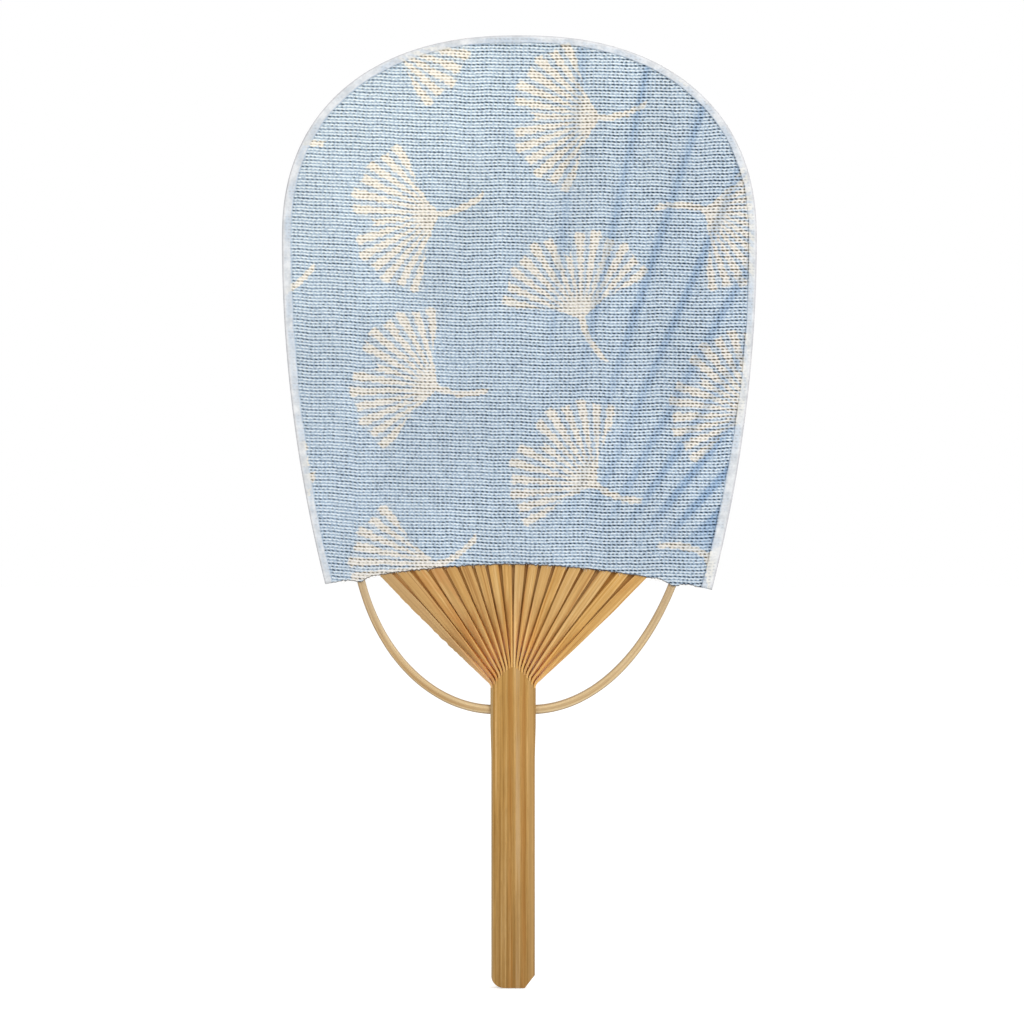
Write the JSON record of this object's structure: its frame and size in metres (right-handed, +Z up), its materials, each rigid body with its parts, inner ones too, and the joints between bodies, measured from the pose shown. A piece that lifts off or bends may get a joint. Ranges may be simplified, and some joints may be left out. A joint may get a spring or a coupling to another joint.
{
  "type": "uchiwa fan",
  "caption": "Flat-handled bamboo hand fan: split ribs spread from the slat, a bent bow through the handle, a rigid fabric leaf and a paper-bound rim.",
  "frame": {"origin": "middle of the hand grip, on the centre line of the handle's slat, half way through its thickness", "axes": "+Z up along the handle towards the leaf, -Y out of the printed front of the leaf, +X to the right seen from the front"},
  "size_m": [0.19, 0.0064, 0.3806],
  "materials": {
    "bamboo_handle": "shaved bamboo, oiled satin",
    "bamboo_ribs": "split bamboo, satin",
    "bamboo_bow": "pale shaved bamboo, satin",
    "string": "twisted cotton, matte",
    "printed_fabric": "coarse plain weave with an ivory print, matte",
    "backing_paper": "plain, matte",
    "binding_paper": "thin, slightly translucent, matte"
  },
  "bodies": {
    "root": {"handle": "bamboo_handle", "bow": "bamboo_bow", "weaving_string": "string", "front_leaf": "printed_fabric", "rear_leaf": "backing_paper", "edge_binding": "binding_paper", "front_rib_01": "bamboo_ribs", "front_rib_02": "bamboo_ribs", "front_rib_03": "bamboo_ribs", "front_rib_04": "bamboo_ribs", "front_rib_05": "bamboo_ribs", "front_rib_06": "bamboo_ribs", "front_rib_07": "bamboo_ribs", "front_rib_08": "bamboo_ribs", "front_rib_09": "bamboo_ribs", "front_rib_10": "bamboo_ribs", "front_rib_11": "bamboo_ribs", "front_rib_12": "bamboo_ribs", "front_rib_13": "bamboo_ribs", "front_rib_14": "bamboo_ribs", "front_rib_15": "bamboo_ribs", "front_rib_16": "bamboo_ribs", "front_rib_17": "bamboo_ribs", "front_rib_18": "bamboo_ribs", "rear_rib_01": "bamboo_ribs", "rear_rib_02": "bamboo_ribs", "rear_rib_03": "bamboo_ribs", "rear_rib_04": "bamboo_ribs", "rear_rib_05": "bamboo_ribs", "rear_rib_06": "bamboo_ribs", "rear_rib_07": "bamboo_ribs", "rear_rib_08": "bamboo_ribs", "rear_rib_09": "bamboo_ribs", "rear_rib_10": "bamboo_ribs", "rear_rib_11": "bamboo_ribs", "rear_rib_12": "bamboo_ribs", "rear_rib_13": "bamboo_ribs", "rear_rib_14": "bamboo_ribs", "rear_rib_15": "bamboo_ribs", "rear_rib_16": "bamboo_ribs", "rear_rib_17": "bamboo_ribs"}
  },
  "joints": []
}
